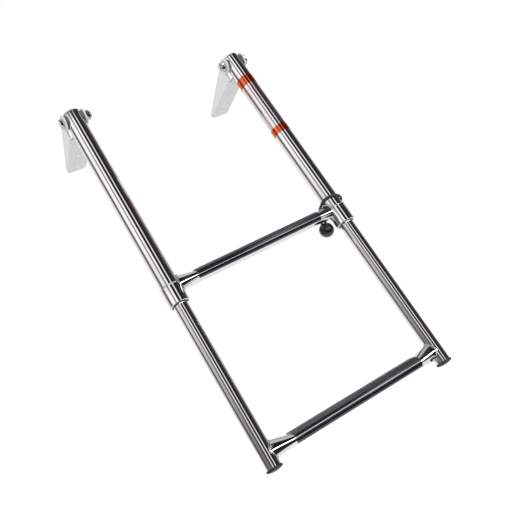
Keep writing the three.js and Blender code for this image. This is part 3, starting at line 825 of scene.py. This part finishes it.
def cord_points():
    """Out of the ball, up behind the rung, round the right tube and back to the ball."""
    wrap = OUTER_R + CORD_R + 0.25
    points = [BALL_AT + Vector((-1.6, 1.0, 10.5)), Vector((RIGHT_X - 25.0, 20.2, -348.0)),
              Vector((RIGHT_X - 22.0, 14.5, -336.0))]
    turns = 14
    for i in range(turns + 1):
        angle = math.pi + math.pi * 1.36 * i / turns
        drop = 334.5 + 4 * math.cos(angle) + 4.5 * math.sin(angle)
        points.append(Vector((RIGHT_X + wrap * math.cos(angle), wrap * math.sin(angle), -drop)))
    points.append(Vector((RIGHT_X - 8, 22.5, -343.5)))
    points.append(BALL_AT + Vector((4.2, 4.0, 9.4)))
    return spline(points)


route = cord_points()
cord = finish_mesh(sweep(route, lambda share: CORD_R, 20), "cord_loop", smooth=60)
place(cord, "upper_ladder", "elastic_cord", CORD, "retaining_cord")

# A dimple for the cord at the top of the ball, and a moulding line round its middle.
profile = [(0.0, BALL_R - 1.6), (2.4, BALL_R - 1.2), (3.0, BALL_R - 0.55)]
profile += [p[::-1] for p in arc(0.0, 0.0, BALL_R, 17, 85, 17)]
profile += [(BALL_R - 0.12, 0.25), (BALL_R - 0.28, 0.0), (BALL_R - 0.12, -0.25)]
profile += [p[::-1] for p in arc(0.0, 0.0, BALL_R, 93, 177, 21)]
profile += [(0.0, -BALL_R)]
ball_bm = lathe(profile, segments=72, closed=False)
ball_turn = Matrix.Translation(BALL_AT) @ Matrix.Rotation(math.radians(14), 4, "X")
ball = finish_mesh(ball_bm, "ball", LADDER @ ball_turn, smooth=45)
place(ball, "upper_ladder", "ball_plastic", BALL, "cord_ball")

route = [LADDER @ p for p in route]
tuple(route[0])
sum((b - a).length for a, b in zip(route, route[1:]))
[tuple(p) for p in route]


# ---- Label film -----------------------------------------------------------------------------
def film(top, bottom, name, material, slot, node):
    r = OUTER_R + 0.08
    profile = [(r, -bottom), (r + 0.25, -bottom), (r + 0.25, -top), (r, -top)]
    obj = finish_mesh(lathe(profile, RIGHT_X), name)
    return place(obj, "upper_ladder", slot, material, node)


film(41.5, 60.5, "film_upper_band", ORANGE, "orange_film", "label_upper_band")
film(60.6, 162.9, "film_clear", CLEAR, "clear_film", "label_clear_film")
film(163.0, 177.5, "film_lower_band", ORANGE, "orange_film", "label_lower_band")


# ---- CAD pieces that stay as they are, with finished surfaces ---------------------------------
KEPT = {"pivot_sleeve": NYLON, "slider_bush": BLACK, "slider_rivet": FASTENER}
for side, sign, x in SIDES:
    for part, material in KEPT.items():
        mesh = frame["nodes"][f"{side}_{part}"].data
        mesh.materials.clear()
        mesh.materials.append(material)


# ---- Studio ---------------------------------------------------------------------------------
def make_floor():
    bm = bmesh.new()
    bmesh.ops.create_grid(bm, x_segments=2, y_segments=2, size=9.0)
    mesh = bpy.data.meshes.new("floor")
    bm.to_mesh(mesh)
    bm.free()
    floor = bpy.data.objects.new("floor", mesh)
    floor.location.z = CAD_BOX[0][2] - 0.12
    bpy.context.scene.collection.objects.link(floor)
    n = Nodes("pale floor")
    tone = n.blend_colour(n.noise(n.place(), 3.0), (0.97, 0.97, 0.97), (0.95, 0.95, 0.95))
    n.set(Base_Color=tone, Roughness=n.span(n.noise(n.place(), 8.0), 0.85, 0.95))
    mesh.materials.append(n.material)
    floor.visible_glossy = False


def soft_light(name, place_at, aim, size, power):
    data = bpy.data.lights.new(name, "AREA")
    data.shape = "RECTANGLE"
    data.size, data.size_y = size
    data.energy = power
    light = bpy.data.objects.new(name, data)
    bpy.context.scene.collection.objects.link(light)
    light.location = place_at
    toward = Vector(aim) - Vector(place_at)
    light.rotation_euler = toward.to_track_quat("-Z", "Y").to_euler()
    light.visible_glossy = False


def colour_ramp(g, value, low, high, stops):
    """Outputs of a ramp over value, from (place, colour) stops between low and high."""
    ramp = g.add("ShaderNodeValToRGB", {"Fac": g.remap(value, low, high)})
    elements = ramp.color_ramp.elements
    while len(elements) < len(stops):
        elements.new(0.5)
    for element, (at, colour) in zip(elements, stops):
        element.position = (at - low) / (high - low)
        element.color = colour
    return ramp.outputs


def window(g, value, low, high, soft):
    """1 where value is between low and high, fading to 0 over soft on each side."""
    return g.math("MULTIPLY", g.remap(value, low - soft, low),
                  g.remap(value, high, high + soft, 1.0, 0.0))


def make_world():
    """A white studio whose dark flags and strip lights are only seen in reflections."""
    world = bpy.data.worlds.new("studio")
    bpy.context.scene.world = world
    world.use_nodes = True
    g = Graph(world.node_tree)
    seen = g.add("ShaderNodeTexCoord").outputs["Generated"]
    level = g.add("ShaderNodeVectorRotate", {"Vector": seen, "Axis": (1, 0, 0), "Angle": LEAN})
    across, inboard, height = g.add("ShaderNodeSeparateXYZ", {0: level.outputs[0]}).outputs
    turn = g.math("ARCTAN2", across, g.math("MULTIPLY", inboard, -1.0))

    # Round the tubes from behind the left one: (degrees from the front, brightness, warmth).
    # A warmth below nothing is lavender.
    back_wall = ((-180, 0.90, 0.0), (-156, 0.92, 0.01), (-134, 0.88, 0.05))
    left_flag = ((-117, 0.26, 0.13), (-103, 0.05, 0.15), (-92, 0.34, 0.08))
    left_light = ((-83, 1.0, 0.01), (-56, 1.05, 0.0), (-49, 0.65, 0.0))
    left_line = ((-42, 0.10, 0.0), (-35, 0.42, 0.0))
    front_light = ((-27, 1.15, 0.0), (-17, 1.15, 0.0))
    front_flag = ((-11, 0.12, 0.0), (-8, 0.01, -0.03), (7, 0.01, -0.03), (12, 0.22, -0.07))
    lavender_strip = ((17, 1.0, -0.07), (22, 0.9, -0.07))
    right_flag = ((28, 0.03, -0.03), (48, 0.012, 0.0), (62, 0.05, 0.05), (80, 0.03, 0.08))
    right_wall = ((95, 0.15, 0.08), (112, 0.42, 0.05), (138, 0.85, 0.01), (180, 0.90, 0.0))
    round_stops = [
        (math.radians(degrees), (light * (1 + abs(warm)), light, light * (1 - warm), 1))
        for part in (back_wall, left_flag, left_light, left_line, front_light, front_flag,
                     lavender_strip, right_flag, right_wall)
        for degrees, light, warm in part]
    walls = colour_ramp(g, turn, -math.pi, math.pi, round_stops)

    # Low and high in the studio: (height of the direction, brightness, how far it takes over).
    pale_ground = ((-1.0, 0.98, 0.85), (-0.62, 0.94, 0.85), (-0.46, 0.94, 0))
    dark_canopy = ((0.56, 0.05, 0), (0.66, 0.05, 1), (0.76, 0.06, 1))
    top_light = ((0.84, 0.55, 1), (1.0, 0.7, 1))
    height_stops = [(z, (light, light, light, cover))
                    for part in (pale_ground, dark_canopy, top_light)
                    for z, light, cover in part]
    storeys = colour_ramp(g, height, -1.0, 1.0, height_stops)

    # The big light on the left hangs high: low on the tubes it fades.
    left_side = window(g, turn, -1.65, -0.52, 0.25)
    fading = g.math("MULTIPLY", g.remap(height, 0.03, 0.38, -0.80, 0.12), left_side)
    dimmed = g.add("ShaderNodeVectorMath",
                   {0: walls["Color"], 1: g.math("ADD", fading, 1.0)}, operation="MULTIPLY")
    room = g.blend_colour(storeys["Alpha"], dimmed.outputs[0], storeys["Color"])

    # A dark flag low in front keeps the front faces of the treads black.
    low_flag = g.math("MULTIPLY", window(g, height, -0.88, -0.28, 0.06),
                      window(g, turn, -1.0, 1.0, 0.15))
    room = g.blend_colour(low_flag, room, (0.02, 0.02, 0.022))

    # One long low strip light in front of the ladder, for the line along the treads.
    strip_brightness = 6.5
    strip = g.math("MULTIPLY", window(g, height, -0.15, -0.07, 0.04),
                   window(g, turn, -0.3, 1.0, 0.3))
    strip = g.math("MULTIPLY", strip, strip_brightness)
    reflected = g.add("ShaderNodeVectorMath", {0: room, 1: strip}, operation="ADD")

    # What lights the matt surfaces: a little brighter from the left and from above.
    ambient = g.math("ADD", g.remap(height, -1.0, 1.0, 0.52, 1.32),
                     g.math("MULTIPLY", across, -0.24))
    path = g.add("ShaderNodeLightPath").outputs
    plain = g.blend_colour(path["Is Diffuse Ray"], (1.0, 1.0, 1.0), ambient)
    light = g.blend_colour(path["Is Glossy Ray"], plain, reflected.outputs[0])
    g.put(g.tree.nodes["Background"].inputs["Color"], light)


make_floor()
make_world()
soft_light("key", (-1.6, -1.4, 1.5), (0, -0.05, -0.3), (1.6, 1.6), 22)
soft_light("fill", (1.8, -1.2, 0.4), (0, -0.05, -0.3), (1.4, 1.8), 8)
bpy.context.scene.view_settings.view_transform = "Standard"
